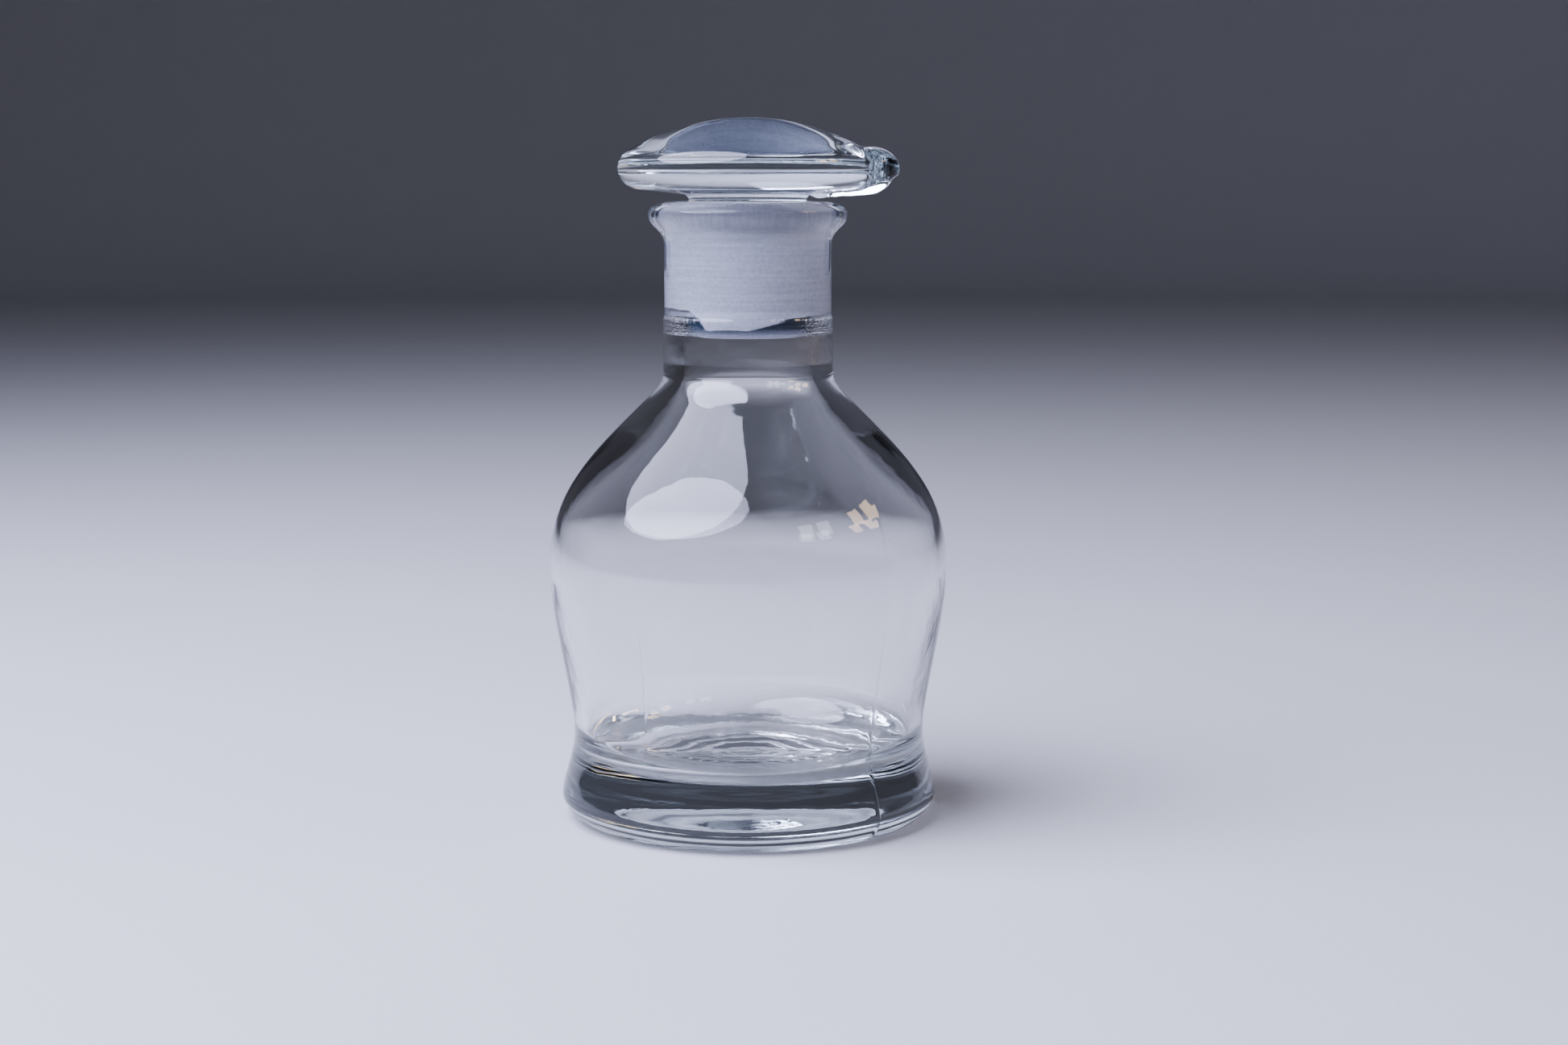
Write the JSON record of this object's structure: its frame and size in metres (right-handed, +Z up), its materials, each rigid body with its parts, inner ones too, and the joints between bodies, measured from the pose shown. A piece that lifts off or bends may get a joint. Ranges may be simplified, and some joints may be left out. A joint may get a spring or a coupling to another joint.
{
  "type": "dropping bottle",
  "caption": "Clear glass dropping bottle: bell-shaped body on a thick flared foot, ground neck, and a domed stopper with a pouring beak that lifts out.",
  "frame": {"origin": "centre of the foot, on the surface the bottle stands on", "axes": "+Z up along the bottle's axis, +X towards the beak of the stopper"},
  "size_m": [0.05, 0.05, 0.0878],
  "materials": {
    "bottle_glass": "clear blown soda-lime glass, fire-polished; the bore of the neck is ground matt",
    "stopper_glass": "clear pressed soda-lime glass, fire-polished; the tapered plug is ground matt"
  },
  "bodies": {
    "bottle": {"bottle": "bottle_glass"},
    "stopper": {"stopper": "stopper_glass"}
  },
  "joints": [
    {"name": "stopper_lift", "type": "slide", "parent": "bottle", "child": "stopper", "axis": [0, 0, 1], "range_m": [0, 0.025]}
  ]
}
